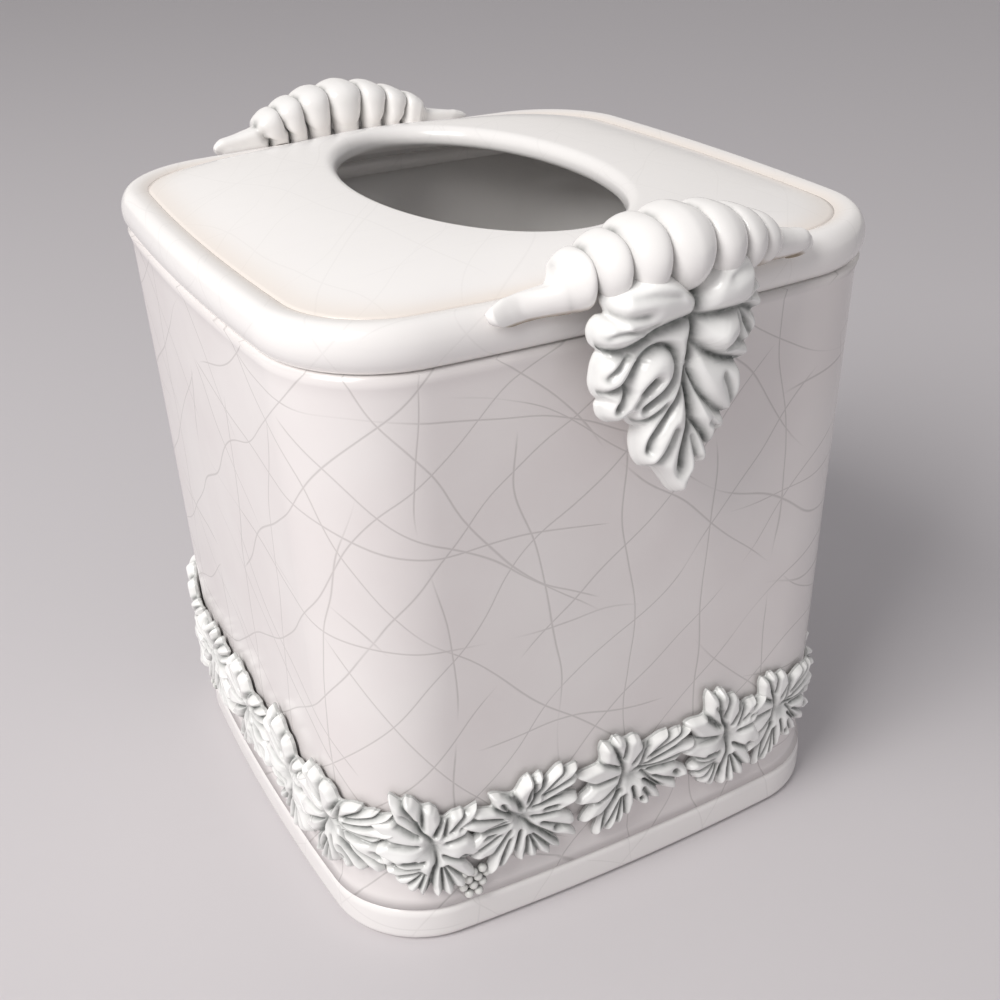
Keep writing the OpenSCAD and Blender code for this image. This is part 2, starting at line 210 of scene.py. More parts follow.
# %% [markdown]
# ### Craze lines
# Crazing on this kind of glaze isn't a net of small cells. Long cracks run right across the wall as
# gentle arcs and cross each other, and each ends somewhere. A family of cracks is a stack of planes in
# space: where a plane cuts the wall there is a line, which runs on round a corner as a real crack does.
# A slow noise bends the planes a little, and another one says where the family shows. Every family looks
# the noises up in another place, so that no two are alike. The lines are 0.35 mm wide, the least that
# shows in the render. Where the planes lie nearly along the surface, as its normal tells, the lines would
# spread, so they are drawn thinner there and then left out.

# %% Craze lines
# Direction across the planes, spacing in mm, and how much of the wall the family leaves bare
CRAZE_FAMILIES = [((1.00, 0.22, 0.06), 21.0, 0.40), ((-0.60, 0.46, 0.66), 15.0, 0.36),
                  ((0.62, -0.50, 0.60), 23.0, 0.44), ((0.10, -0.22, 0.97), 25.0, 0.47),
                  ((0.14, 0.98, 0.10), 22.0, 0.42), ((0.40, -0.62, 0.68), 27.0, 0.46)]
CRAZE_WIDTH = 0.35
# Bend of the planes, size of its swells and of the bare patches in mm, and how softly a patch ends
BEND, BEND_SIZE, PATCH_SIZE, PATCH_FADE = 25.0, 62.0, 48.0, 0.05
# The normal's share across the planes where lines get thinner, and where they fade out
THINNER, FADING = (0.3, 0.85), (0.7, 0.84)


def craze_mask(tree, place, normal):
    """1 on a craze line and 0 between the lines, for a place in mm and the surface's own normal. A
    family's planes are where (place . across + bend * noise) / spacing is a whole number, and a line
    fades out over its width on both sides of them."""
    total = None
    for number, (across, spacing, bare) in enumerate(CRAZE_FAMILIES):
        moved = add(tree, "ShaderNodeVectorMath", {0: place, 1: (37.0 * number, 11.0, 53.0 * number)},
                    operation="ADD").outputs[0]
        plane = dot(tree, place, tuple(v / spacing for v in across))
        bent = maths(tree, "MULTIPLY_ADD", noise(tree, moved, BEND_SIZE, 1.5), BEND / spacing, plane)
        away = maths(tree, "PINGPONG", bent, 0.5)
        facing = maths(tree, "ABSOLUTE", dot(tree, normal, across))
        width = remap(tree, facing, *THINNER, CRAZE_WIDTH / spacing, 0.5 * CRAZE_WIDTH / spacing)
        line = remap(tree, away, 0.0, width, 1.0, 0.0, interpolation_type="SMOOTHSTEP")
        shown = remap(tree, noise(tree, moved, PATCH_SIZE, 1.0), bare, bare + PATCH_FADE)
        clear = remap(tree, facing, *FADING, 1.0, 0.0)
        drawn = maths(tree, "MULTIPLY", maths(tree, "MULTIPLY", line, shown), clear)
        total = drawn if total is None else maths(tree, "MAXIMUM", total, drawn)
    return maths(tree, "MULTIPLY", total, attribute(tree, "craze"))


# %% [markdown]
# ### One glaze, three finishes
# The crests and leaves are white and nearly uncrazed. The walls are a little greyer, because between the
# lines that can be seen there are others too fine to draw. The leaves and grapes keep more stain in their
# hollows. So one function makes the material, and a row of values makes the three finishes. The stain
# follows the attribute wash, broken up by a fine noise as a wiped brush stroke is.

# %% The glazes
CRAZED_GREY, CRAZE_STAIN, WARM_CLAY, RECESS = "#E9E3E2", "#97928F", "#DCC4AA", "#646966"
# Colour of the glaze where it isn't crazed, and how strongly the stain stays in the hollows
FINISHES = {
    "crackle_glaze": ("#F8F6F4", 0.8),
    "washed_leaf_glaze": ("#F9F9F7", 0.9),
    "washed_grape_glaze": ("#F0F0EC", 0.95),
}
# Size in mm of the cloudy grey, of the brush strokes and of the glaze's roll
CLOUD_SIZE, STROKE_SIZE, ROLL_SIZE = 30.0, 1.6, 8.0
# Range of the noise, and the range of shares that it turns into, for the clouds and the strokes
CLOUDS, STROKES = (0.3, 0.7, 0.6, 1.0), (0.3, 0.7, 0.75, 1.1)
# How much of the stain a craze line takes, how deep it is as a share of the roll, and the roll in mm
LINE_STAIN, FURROW, ROLL = 0.38, 0.45, 0.08


def glazed_earthenware(name, pale, wash_share):
    """Off-white crazed glaze over pale clay: glossy, IOR 1.5 as glass, stained in lines and hollows,
    with a painted shadow under the crests' tails.
    """
    material = bpy.data.materials.new("glazed_earthenware_" + name)
    material.use_nodes = True
    tree = material.node_tree
    tree.nodes.clear()
    where = add(tree, "ShaderNodeTexCoord").outputs
    place = add(tree, "ShaderNodeVectorMath", {0: where["Object"], "Scale": 1 / MM},
                operation="SCALE").outputs[0]
    clouds = remap(tree, noise(tree, place, CLOUD_SIZE, 2.0), *CLOUDS)
    greyed = maths(tree, "MULTIPLY", attribute(tree, "craze"), clouds)
    body = blend(tree, greyed, linear(pale), linear(CRAZED_GREY))
    craze = craze_mask(tree, place, where["Normal"])
    lined = blend(tree, maths(tree, "MULTIPLY", craze, LINE_STAIN), body, linear(CRAZE_STAIN))
    # Warm colour: glaze pooled at the rim, and under the crests' tails a painted shadow with the glaze's
    # break
    pooled_and_shadowed = blend(tree, attribute(tree, "warm"), lined, linear(WARM_CLAY))
    strokes = remap(tree, noise(tree, place, STROKE_SIZE, 3.0), *STROKES)
    kept = maths(tree, "MULTIPLY", attribute(tree, "wash"), strokes, use_clamp=True)
    colour = blend(tree, maths(tree, "MULTIPLY", kept, wash_share), pooled_and_shadowed, linear(RECESS))
    # A craze line is a furrow, and the glaze between the lines rolls gently
    furrow = maths(tree, "MULTIPLY", craze, -FURROW)
    height = maths(tree, "ADD", noise(tree, place, ROLL_SIZE, 1.0), furrow)
    bump = add(tree, "ShaderNodeBump", {"Height": height, "Strength": 0.5, "Distance": ROLL * MM})
    shader = add(tree, "ShaderNodeBsdfPrincipled", {
        "Base Color": colour, "Normal": bump.outputs[0], "Roughness": 0.2, "IOR": 1.5, "Metallic": 0.0})
    add(tree, "ShaderNodeOutputMaterial", {"Surface": shader.outputs[0]})
    return material


glazes = {slot: glazed_earthenware(slot, *finish) for slot, finish in FINISHES.items()}
print("glazes:", ", ".join(glazes))

# %% [markdown]
# ## The body: foot, wall and rim
# A mould-maker turns these with a profile held square to the outline. So each one is a profile of
# (inset, height) points, carried round the outline. The profiles follow the CAD's, with finer rounds,
# and with small fillets where wet clay and glaze fill the inner corners. The wall isn't quite flat: cast
# clay moves a little in the kiln, which a slow wave of a tenth of a millimetre gives back.

# %% Foot, wall and rim
WALL_T, WALL_FOOT, WALL_TOP = 5.0, 5.3, 1.5
# A fillet's reach out of the wall and the length over which it fades, at the foot and at the rim
FOOT_FILLET, RIM_FILLET = (1.3, 1.5), (0.7, 0.9)
FOOT_INSET, FOOT_ROUND, FOOT_TOP_ROUND, FOOT_CHAMFER = 3.8, 2.5, 2.6, 0.6
BEAD_W, LEDGE_W, TOP_T = 7.0, 3.0, 5.0
NOSE_W, NOSE_H = BEAD_W / 2, (COVER_H - RIM_Z) / 2
LEDGE_Z = PANEL_Z - TOP_T
# Inset and height of the rim's fall from its crown to the panel
RIM_FALL = [(4.4, 154.96), (5.3, 154.8), (6.2, 154.5), (6.7, 154.3), (BEAD_W, PANEL_Z)]
# Share of warm glaze pooled at the rim's inner edge, how far it spreads, and how deep below the crown
POOL, POOL_W, POOL_DEPTH = 0.3, 2.2, 2.0
# Size of the kiln's wave, how many there are round the body, and what its two lengths are over 2 pi
WAVE, WAVES_ROUND, WAVE_TWIST, WAVE_RISE = 0.12, 5, 23.0, 31.0


def arc(inset, z, wide, high, start, end, steps=10):
    """Profile points on an ellipse round (inset, z) from one angle to another, 0 facing out, 90 up."""
    a = np.radians(np.linspace(start, end, steps + 1))
    return np.stack([inset - wide * np.cos(a), z + high * np.sin(a)], -1)


def fillet(distance, reach, fade):
    """reach * exp(-distance / fade)."""
    return reach * np.exp(-distance / fade)


def body_band(name, profile, wave=0.0, warm=0.0, craze=1.0):
    """Closed profile carried round the outline: point (turn, k) = outline(turn, inset k) at height k.
    Warm and craze are one value, or one for each point of the profile."""
    inset, z = profile[:, 0][:, None], profile[:, 1][:, None]
    turn = TURNS[None, :]
    ripple = np.sin(np.radians(WAVES_ROUND * turn) + z / WAVE_TWIST) * np.sin(z / WAVE_RISE)
    x, y = outline(turn, inset + wave * ripple)
    points = np.stack([x, y, np.broadcast_to(z, x.shape)], -1).reshape(-1, 3)
    warm, craze = (np.repeat(v * np.ones(len(profile)), len(TURNS)) for v in (warm, craze))
    make_piece("glazed_" + name, points, grid_quads(len(profile), len(TURNS), wrap_rows=True),
               no_triangles, "crackle_glaze", name, 0.0, warm, craze)


def wall_inset(z):
    """How far inside the rim's outline the outer face of the wall lies at a height: a straight line."""
    return WALL_FOOT + (WALL_TOP - WALL_FOOT) * (z - FOOT_H) / (RIM_Z - FOOT_H)


wall_z = np.linspace(FOOT_H, RIM_Z, 55)
wall_z_in = wall_z[::-6]
flare = fillet(wall_z - FOOT_H, *FOOT_FILLET) + fillet(RIM_Z - wall_z, *RIM_FILLET)
wall = np.concatenate([np.stack([wall_inset(wall_z) - flare, wall_z], -1),
                       np.stack([wall_inset(wall_z_in) + WALL_T, wall_z_in], -1)])
body_band("wall_shell", wall, WAVE, craze=np.repeat([1.0, 0.0], [len(wall_z), len(wall_z_in)]))

foot_in, round_in = WALL_FOOT + WALL_T, FOOT_INSET + FOOT_ROUND
foot = np.concatenate([
    [(foot_in - FOOT_CHAMFER, 0)], arc(round_in, FOOT_ROUND, FOOT_ROUND, FOOT_ROUND, -90, 0),
    arc(round_in, FOOT_H - FOOT_TOP_ROUND, FOOT_ROUND, FOOT_TOP_ROUND, 0, 90),
    [(foot_in, FOOT_H), (foot_in, FOOT_CHAMFER)]])
body_band("foot_band", foot, craze=0.3)

ledge_in = BEAD_W + LEDGE_W
rim = np.concatenate([
    [(ledge_in, RIM_Z)], arc(NOSE_W, RIM_Z + NOSE_H, NOSE_W, NOSE_H, -90, 90, 26), RIM_FALL,
    [(BEAD_W, LEDGE_Z), (ledge_in, LEDGE_Z)]])
near_edge = np.exp(-((rim[:, 0] - BEAD_W) / POOL_W) ** 2) * (rim[:, 1] > COVER_H - POOL_DEPTH)
body_band("rim_bead", rim, warm=POOL * near_edge, craze=0.2)

# %% [markdown]
# ## The top
# The top is a gentle dome between the rim and an oval mouth, closed below, with a soft rounded brim that
# lets tissues slide out without tearing. It isn't a turned shape, because its edge is square and its
# mouth oval. So each ring mixes the two curves, and its height follows the dome: share 0 is the edge,
# share 1 the brim. Then the ring goes over the brim, down inside and back along the underside.

# %% The top panel
MOUTH_W, MOUTH_L, BRIM_R, TOP_RISE = 55.0, 99.0, 3.0, 5.5
BRIM_Z = PANEL_Z + TOP_RISE
# Rings from the brim down and back along the underside: share, how much wider the oval is, height, and
# the inset of the edge
UNDERSIDE = [(1, 0.2, BRIM_Z - 4.2, BEAD_W), (1, 0.9, BRIM_Z - 4.9, BEAD_W),
             (0.8, 1, LEDGE_Z + 4, ledge_in), (0.5, 0, LEDGE_Z + 3, ledge_in), (0, 0, LEDGE_Z, ledge_in),
             (0, 0, LEDGE_Z, BEAD_W)]
POOL_SHARE = 0.12


def panel_rings(share, grow, z, edge_inset):
    """Rings between the edge (share 0) and the oval mouth (share 1): edge + (oval - edge) * share."""
    share, grow, z = (np.atleast_1d(v)[:, None] for v in (share, grow, z))
    ex, ey = outline(TURNS[None, :], edge_inset)
    angle = np.arctan2(ey, ex)
    ox, oy = (MOUTH_W / 2 + grow) * np.cos(angle), (MOUTH_L / 2 + grow) * np.sin(angle)
    x, y = ex + (ox - ex) * share, ey + (oy - ey) * share
    return np.stack([x, y, np.broadcast_to(z, x.shape)], -1)


dome = np.linspace(0, 1, 41)
over = np.radians(np.linspace(0, 100, 13)[1:])
panel = np.concatenate([
    panel_rings(dome, BRIM_R, PANEL_Z + TOP_RISE * dome * (2 - dome), BEAD_W),
    panel_rings(np.ones(len(over)), BRIM_R * (1 - np.sin(over)), BRIM_Z - BRIM_R * (1 - np.cos(over)),
                BEAD_W),
    *[panel_rings(*ring) for ring in UNDERSIDE]])
pool = np.zeros(len(panel))
pool[:len(dome)] = POOL * np.exp(-(dome / POOL_SHARE) ** 2)
make_piece("glazed_top_panel", panel.reshape(-1, 3), grid_quads(len(panel), len(TURNS), wrap_rows=True),
           no_triangles, "crackle_glaze", "top_panel", wash=0.0, warm=np.repeat(pool, len(TURNS)),
           craze=0.15)

# %% [markdown]
# ## The crests
# A crest is a roll of clay bent over the edge of the rim, pressed into seven fat lobes, with a tail at
# each end. Think of a tube: one parameter runs along it and one round it. Its section swells towards the
# middle, and each groove between two lobes is where the section shrinks. A lobe's back is a little
# fuller than a circle's arc, so two lobes meet in a sharp valley, where the stain stays. In front, the
# left tail runs on into the first lobe without a step. Both crests come from one mould, so the rear one
# is the front one turned half round, pressed a little lower.

# %% Crest shape
# Half length, reach out, drop, how far the back lies inside the rim's nose, depth of the grooves, shift
# to the right, and the heights in front and behind, in mm
CREST_HALF, CREST_REACH, CREST_DROP, CREST_SET, CREST_GROOVE = 37.0, 15.68, 2.5, 3.5, 2.1
CREST_OFF, FRONT_RISE, REAR_RISE = 1.2, 15.7, 13.3
# Power of a lobe's arc, how much deeper a groove is below, and power of the section's squarer back
LOBE_POWER, LOW_GROOVE, BACK_POWER = 2.2, 2.0, 0.62
# Tails: depth, swell where a tail and a tip begin, and shift out. Then the middle's share of the drop,
# the left tail's further drop, the right tail's shift along, and how far the foot draws in
TAIL_D, TAIL_SWELL, TIP_SWELL, TAIL_SHIFT = 3.0, 0.5, 0.09, 1.2
MIDDLE_DROP, LEFT_DROP, RIGHT_SHIFT, DRAW_IN = 0.25, 0.6, 1.0, 0.22
GROOVES = np.array([-0.62, -0.49, -0.327, -0.13, 0.13, 0.351, 0.527, 0.7])
SWELL = np.array([
    (-1, 0.03), (-0.97, 0.1), (-0.9, 0.17), (-0.8, 0.2), (-0.66, 0.23), (-0.64, 0.3), (-0.62, 0.46),
    (-0.555, 0.58), (-0.49, 0.66), (-0.41, 0.75), (-0.327, 0.84), (-0.23, 0.91), (-0.13, 0.97), (0, 1),
    (0.13, 0.97), (0.24, 0.93), (0.351, 0.86), (0.44, 0.79), (0.527, 0.71), (0.61, 0.62), (0.69, 0.5),
    (0.7, 0.42), (0.74, 0.33), (0.85, 0.26), (0.94, 0.22), (0.975, 0.17), (0.99, 0.12), (1, 0.04)])
# Swell at the second groove, where the left tail's front has become a lobe. On the way there it is a
# share of one power and the rest of another.
SHOULDER, EARLY, EARLY_POWER, LATE_POWER = 0.66, 0.25, 0.6, 2.2
# The first groove's depth and how it leans back, and how softly the outer grooves end
FIRST_DEPTH, FIRST_LEAN, GROOVE_END = 0.5, 0.2, 0.3
# Where a change starts and how long it takes, along the crest as shares of half its length: the drop on
# the left, the left tail's further drop, and the right tail's shift. The last one goes round the section,
# for the grooves that get deeper below.
HUNG, LEFT_END, RIGHT_END, DEEPER = (0.42, 0.16), (0.6, 0.25), (0.7, 0.25), (-0.8, 1.4)
SEAT_GAP = 0.25


def ramp(value, start, length):
    """0 up to start, then rises evenly to 1 over the length."""
    return np.clip((value - start) / length, 0, 1)


def front_point(along, out, z):
    """Point of the front edge: along it to the right, out past the rim's nose, and at a height."""
    x, y = outline(-90 + np.degrees(along / SIDE_R), -out)
    return np.stack(np.broadcast_arrays(x, y, z), -1)


def groove_share(share):
    """0 on the back of a lobe and 1 in a groove: 1 - (1 - |place|^p)^(1/p), with place from -1 to 1."""
    k = np.clip(np.searchsorted(GROOVES, share, side="right") - 1, 0, len(GROOVES) - 2)
    place = np.abs(2 * (share - GROOVES[k]) / (GROOVES[k + 1] - GROOVES[k]) - 1)
    lobe = 1 - (1 - np.clip(place, 0, 1) ** LOBE_POWER) ** (1 / LOBE_POWER)
    return np.where(place <= 1, lobe, np.exp(-((place - 1) / GROOVE_END) ** 2))


def rim_top(out):
    """Height of the rim's upper face at a distance outside its nose: flat, then a quarter ellipse."""
    nose = 1 - ((np.clip(out, -NOSE_W, 0) + NOSE_W) / NOSE_W) ** 2
    return np.where(out < 0, RIM_Z + NOSE_H + NOSE_H * np.sqrt(nose), RIM_Z)


def crest(share, angle, rise):
    """Point of the crest at a share of half its length and an angle round it, in radians. The section is
    an oval from back to reach and from foot to high, made smaller by the groove."""
    swell = np.interp(share, SWELL[:, 0], SWELL[:, 1])
    c, s = np.cos(angle), np.sin(angle)
    # In front and below, the left tail runs on into the first lobe without the step that the back has
    u = ramp(share, -1, GROOVES[1] + 1)
    run_on = SHOULDER * (EARLY * u ** EARLY_POWER + (1 - EARLY) * u ** LATE_POWER)
    ahead = np.where(share < GROOVES[1], run_on, swell)
    upper = swell + (ahead - swell) * np.clip((1 - s + c) / 2, 0, 1)
    # The first groove shows only above, and the others get deeper downwards
    first = share < (GROOVES[0] + GROOVES[1]) / 2
    first_depth = FIRST_DEPTH * np.clip(s - FIRST_LEAN * c, 0, 1)
    depth = np.where(first, first_depth, 1 + LOW_GROOVE * ramp(-s, *DEEPER))
    groove = CREST_GROOVE * swell * groove_share(share) * depth
    tail = 1 - np.minimum(1, swell / TAIL_SWELL)
    back = -CREST_SET * (1 - TAIL_SHIFT * tail)
    reach = np.maximum(CREST_REACH * ahead, back + TAIL_D * np.minimum(1, swell / TIP_SWELL))
    hung = np.maximum(tail, ramp(-share, *HUNG))
    foot, high = -CREST_DROP * (MIDDLE_DROP + (1 - MIDDLE_DROP) * hung), rise * upper
    power = np.where(c < 0, BACK_POWER, 1.0)
    out = (reach + back) / 2 + ((reach - back) / 2 - groove) * np.sign(c) * np.abs(c) ** power
    z = COVER_H + (high + foot) / 2 + ((high - foot) / 2 - groove) * np.sign(s) * np.abs(s) ** power
    z = z - LEFT_DROP * ramp(-share, *LEFT_END)
    # Over the rim, the crest stays clear of the rim's upper face
    seat = rim_top(out) + SEAT_GAP
    z = np.where(out < 0, np.where(s < -0.5, np.maximum(COVER_H + foot, seat), np.maximum(z, seat)), z)
    low_back = ((1 - s) / 2) ** 2 * (2 - c) / 3
    along = share * CREST_HALF * (1 - DRAW_IN * low_back) + RIGHT_SHIFT * ramp(share, *RIGHT_END)
    return front_point(CREST_OFF + along, out, z)


# %% Crests
# Stain in a groove: width in mm, share and end of the left tail, angle and width of the dark hook; and
# how dark the painted shadow and the glaze's brown break under the tails are
STAIN_W, TAIL_STAIN, TAIL_END, HOOK, HOOK_W, TAIL_SHADOW_AND_BREAK = 0.55, 0.3, -0.555, np.radians(98), 0.25, 0.75
# Shares of the stain round a groove: everywhere, at the hook, below, and at most. Then where the
# painted shadow and glaze break under the tails start and how long they take to darken, along the
# crest and round it
STAIN_ALL, STAIN_HOOK, STAIN_LOW, STAIN_MOST = 0.25, 0.7, 0.6, 0.9
TAIL_SHADOW_ALONG, TAIL_SHADOW_ROUND = (0.45, 0.2), (0.55, 0.3)
# Power that sets the stations closer at the tips
CLOSER = 1.3

per_lobe = 0.5 - 0.5 * np.cos(np.linspace(0, np.pi, 23))[:-1]
lobes = (GROOVES[:-1, None] + np.diff(GROOVES)[:, None] * per_lobe).ravel()
stations = np.concatenate([-1 + (1 + GROOVES[0]) * np.linspace(0, 1, 33)[:-1] ** CLOSER, lobes,
                           1 - (1 - GROOVES[-1]) * np.linspace(1, 0, 26) ** CLOSER])
around = np.linspace(0, 2 * np.pi, 96, endpoint=False)
from_groove = CREST_HALF * np.abs(stations[:, None] - GROOVES).min(1)
in_groove = np.where(stations < TAIL_END, TAIL_STAIN, 1) * np.exp(-(from_groove / STAIN_W) ** 1.5)
hook = np.exp(-((around - HOOK) / HOOK_W) ** 2)
below = ramp(-np.sin(around), -0.4, 1)
round_it = np.clip(STAIN_ALL + STAIN_HOOK * hook + STAIN_LOW * below, 0, STAIN_MOST)
# Under the tails: a painted contact shadow, with the glaze's brown break, put into the wash and the warm
# colour
tail_shadow_and_break = ramp(np.abs(stations), *TAIL_SHADOW_ALONG)[:, None] * ramp(-np.sin(around), *TAIL_SHADOW_ROUND)[None, :]
crest_stain_and_shadow = np.maximum(in_groove[:, None] * round_it[None, :], TAIL_SHADOW_AND_BREAK * tail_shadow_and_break)
for name, side, rise in (("front_crest", 1, FRONT_RISE), ("rear_crest", -1, REAR_RISE)):
    make_tube("glazed_" + name, crest(stations[:, None], around[None, :], rise) * [side, side, 1],
              "crackle_glaze", name, crest_stain_and_shadow, [0, 0], tail_shadow_and_break)

# %% [markdown]
# ## A pressed leaf
# A leaf like this is carved as a relief: its outline is cut first, then the creases, and the clay
# between two creases is rounded like a small pillow. The surface follows that order. The outline and the
# creases are smooth curves through measured points. A grid runs from the middle of the leaf to its
# outline. Near a crease or the outline the clay drops like the edge of a pillow. Where drops meet, the
# whole drop is the cube root of the sum of their cubes, which rounds the ridge between two creases. A few
# low mounds lift whole lobes. The stain stays near the creases.

# %% Relief tools


def smooth_curve(knots, per_span, closed=False):
    """Catmull-Rom curve through the knots: between knots 1 and 2, half of 2b + (c-a)t + (2a-5b+4c-d)t^2 +
    (3b-a-3c+d)t^3."""
    knots = np.asarray(knots, float)
    if closed:
        padded = np.concatenate([knots[-1:], knots, knots[:2]])
    else:
        padded = np.concatenate([2 * knots[:1] - knots[1:2], knots, 2 * knots[-1:] - knots[-2:-1]])
    a, b, c, d = (padded[i:len(padded) - 3 + i, None, :] for i in range(4))
    t = np.linspace(0, 1, per_span, endpoint=False)[None, :, None]
    curve = (2 * b + (c - a) * t + (2 * a - 5 * b + 4 * c - d) * t ** 2
             + (3 * b - a - 3 * c + d) * t ** 3) / 2
    curve = curve.reshape(-1, knots.shape[1])
    return curve if closed else np.concatenate([curve, knots[-1:]])


def path_distance(grid, path):
    """Distance from each grid point to the nearest point of a path of straight pieces."""
    start, step = path[:-1], np.diff(path, axis=0)
    length2 = np.maximum((step ** 2).sum(-1), 1e-9)
    rel = grid[..., None, :] - start
    t = np.clip((rel * step).sum(-1) / length2, 0, 1)
    return np.sqrt(((rel - t[..., None] * step) ** 2).sum(-1)).min(-1)


def quarter_round(distance, radius):
    """Height share of a pillow's edge: (1 - (1 - d)^2)^0.7, a little softer than a quarter circle, which
    has the power 0.5, and flat beyond the radius."""
    u = 1 - np.clip(distance / radius, 0, 1)
    return (1 - u ** 2) ** 0.7


def soften(field, passes):
    """Averages a grid, whose first row is the middle and whose columns run round, with its neighbours."""
    for _ in range(passes):
        inner = np.concatenate([field[:1], field[:-1]])
        outer = np.concatenate([field[1:], field[-1:]])
        field = (2 * field + inner + outer + np.roll(field, 1, 1) + np.roll(field, -1, 1)) / 6
    return field


# %% [markdown]
# ## The hanging leaves
# Below each crest hangs a vine leaf about 40 mm across. Its two upper lobes are rolled forward, the left
# half has a spiral fold with an eye, and a fan of narrow lobes runs down to the tip. It is luted to the
# crest at the top only and stands clear of the wall, so its edge is a thick, rounded lip.

# %% Hanging leaf, measured curves
# Outline, clockwise from the notch between the two upper lobes: x and z in mm
LEAF_OUTLINE = [
    (1.7, 155.2), (4, 158.2), (7, 160.4), (9.7, 161.4), (12.3, 161.2), (14.3, 159.6), (15.3, 157.2),
    (15, 155), (16.5, 154.7), (17.7, 153.3), (17.4, 152.1), (16.5, 151.6), (18.2, 150.8), (18.9, 149.3),
    (18.3, 148), (17.1, 147.2), (17.9, 145.6), (17.7, 143.4), (16.7, 141.9), (15.6, 141.9), (15.9, 140),
    (15.2, 138.4), (14.2, 137.9), (13.3, 138.5), (14.2, 136), (14.3, 133), (13.5, 130.3), (12.3, 128.2),
    (11.6, 127.4), (10.8, 127.9), (11, 126), (10.3, 124.2), (9.5, 124.3), (9, 125.2), (8.9, 123.4),
    (8.3, 121.3), (7.3, 122.1), (7.5, 120.2), (6.9, 118.2), (5.9, 118), (5.1, 119.2), (4.7, 117.1),
    (3.4, 115.2), (2.8, 112.8), (1.2, 112.5), (-0.3, 113.8), (-1.9, 116.3), (-4.1, 119.4), (-5.9, 120.3),
    (-7.2, 121), (-8.4, 123.2), (-9, 126.1), (-8.8, 128.3), (-8.4, 129.5), (-9.6, 130.3), (-10.7, 131.7),
    (-11.2, 132.8), (-12.5, 132.1), (-14.3, 131.6), (-16.1, 133), (-16.7, 135.1), (-16.3, 136.3),
    (-17.5, 137.8), (-18.2, 140.1), (-17.9, 143.1), (-17.2, 145), (-16.7, 145.9), (-18.1, 147.5),
    (-18.7, 149.7), (-18.2, 151.5), (-16.8, 152.7), (-15.3, 152.9), (-16.1, 155.6), (-14.6, 158.1),
    (-11.6, 159.7), (-8.3, 160.7), (-4.9, 160.2), (-2, 158.2), (0.3, 155.8)]
# Creases: how deep, how wide they round, and the curve
LEAF_CREASES = [
    (1.0, 2.6, [(1.7, 155.5), (1.6, 150.3), (1.2, 146), (0.6, 142), (0.2, 138.5), (0.9, 135.2),
                (1.6, 132), (2.1, 129), (1.8, 126), (1.3, 122.5), (1.1, 118.6)]),
    (1.0, 2.8, [(1.6, 150.3), (-3, 149.6), (-7, 148.8), (-10.5, 147.3), (-13.5, 146.3), (-16.5, 146.6),
                (-19.6, 147.9)]),
    (0.55, 2.0, [(-18.3, 155), (-15.5, 153.8), (-13, 153.3), (-10, 153.3)]),
    (0.5, 1.5, [(-17.4, 149.8), (-15.5, 150.5), (-13, 150.5), (-10, 150.3), (-7.5, 150.6)]),
    (0.25, 2.0, [(-13, 157.2), (-10, 157.3), (-6, 156.6), (-4, 156.2)]),
    (0.95, 2.2, [(-13, 139.5), (-12, 141.5), (-10.7, 143.6), (-9, 145.2), (-7, 146), (-5, 145.8),
                 (-3.3, 144.6), (-2.3, 142.6), (-2.2, 140.5), (-3, 138.3), (-4.6, 136.4), (-6.4, 135),
                 (-8.2, 133.6)]),
    (0.9, 2.0, [(-13, 139.5), (-14.3, 138.8), (-17, 138.3), (-19.3, 138.2)]),
    (0.8, 1.6, [(-12.6, 145.3), (-14, 144), (-15.5, 142.6), (-16.8, 141.5)]),
    (1.0, 1.6, [(-13, 139.5), (-12.6, 138), (-13.2, 136.4), (-14, 134.6)]),
    (1.1, 1.7, [(-7, 139.4), (-8, 138.4), (-8.8, 137.2)]),
    (0.5, 1.5, [(-8.8, 137.2), (-9.8, 135.6), (-10.3, 134.6)]),
    (0.75, 1.8, [(-11.2, 131.2), (-9.5, 131), (-7.5, 131.2), (-5.5, 132.2), (-4, 133.3)]),
    (0.95, 2.0, [(0.3, 138.2), (-0.6, 136.2), (-1.5, 134), (-3, 131.5), (-5, 129), (-6.6, 126.5),
                 (-6.9, 124.4)]),
    (0.8, 1.8, [(-0.9, 127.3), (-1.8, 125), (-3.2, 122.5), (-5.4, 120.2)]),
    (1.0, 2.0, [(2.1, 129.3), (4, 127), (6, 124.4), (7.4, 122)]),
    (0.7, 1.6, [(3, 125.2), (3.8, 122.5), (4.7, 119.4)]),
    (0.85, 2.0, [(1, 139.3), (1.9, 137.2), (3.6, 134.2), (6.6, 130.9), (9.2, 128.9), (11.4, 127.8)]),
    (0.45, 1.2, [(6.6, 127.6), (8.2, 126.2), (9.3, 125)]),
    (0.6, 1.6, [(9.2, 136.8), (10.6, 134), (11.6, 131.4), (12.2, 129.6)]),
    (1.0, 2.4, [(1.3, 145.2), (2.9, 143.8), (5.2, 142), (8.3, 140.3), (11, 139.3), (14.2, 138.3)]),
    (1.1, 1.7, [(9.8, 142.6), (11.2, 143.2), (12.6, 143)]),
    (0.7, 1.5, [(12.6, 143), (14.4, 141.9), (16.5, 141.8)]),
    (0.95, 2.4, [(1.6, 150.3), (5, 150), (9, 149.9), (13.2, 149.4), (15.5, 148.6), (18, 147.2)]),
    (0.85, 1.6, [(13.6, 149), (14.6, 146.5), (15.8, 144.2), (17.6, 141.9)]),
    (0.7, 1.6, [(12.4, 148.4), (12.9, 145.6), (12.4, 143.4)]),
    (0.7, 1.5, [(13.4, 150.6), (15.3, 151.7), (17.4, 151.6)]),
    (0.5, 1.4, [(16, 155), (14.2, 153.8)]),
    (0.25, 2.0, [(8, 157.4), (11, 158.4), (13.8, 158.3)])]
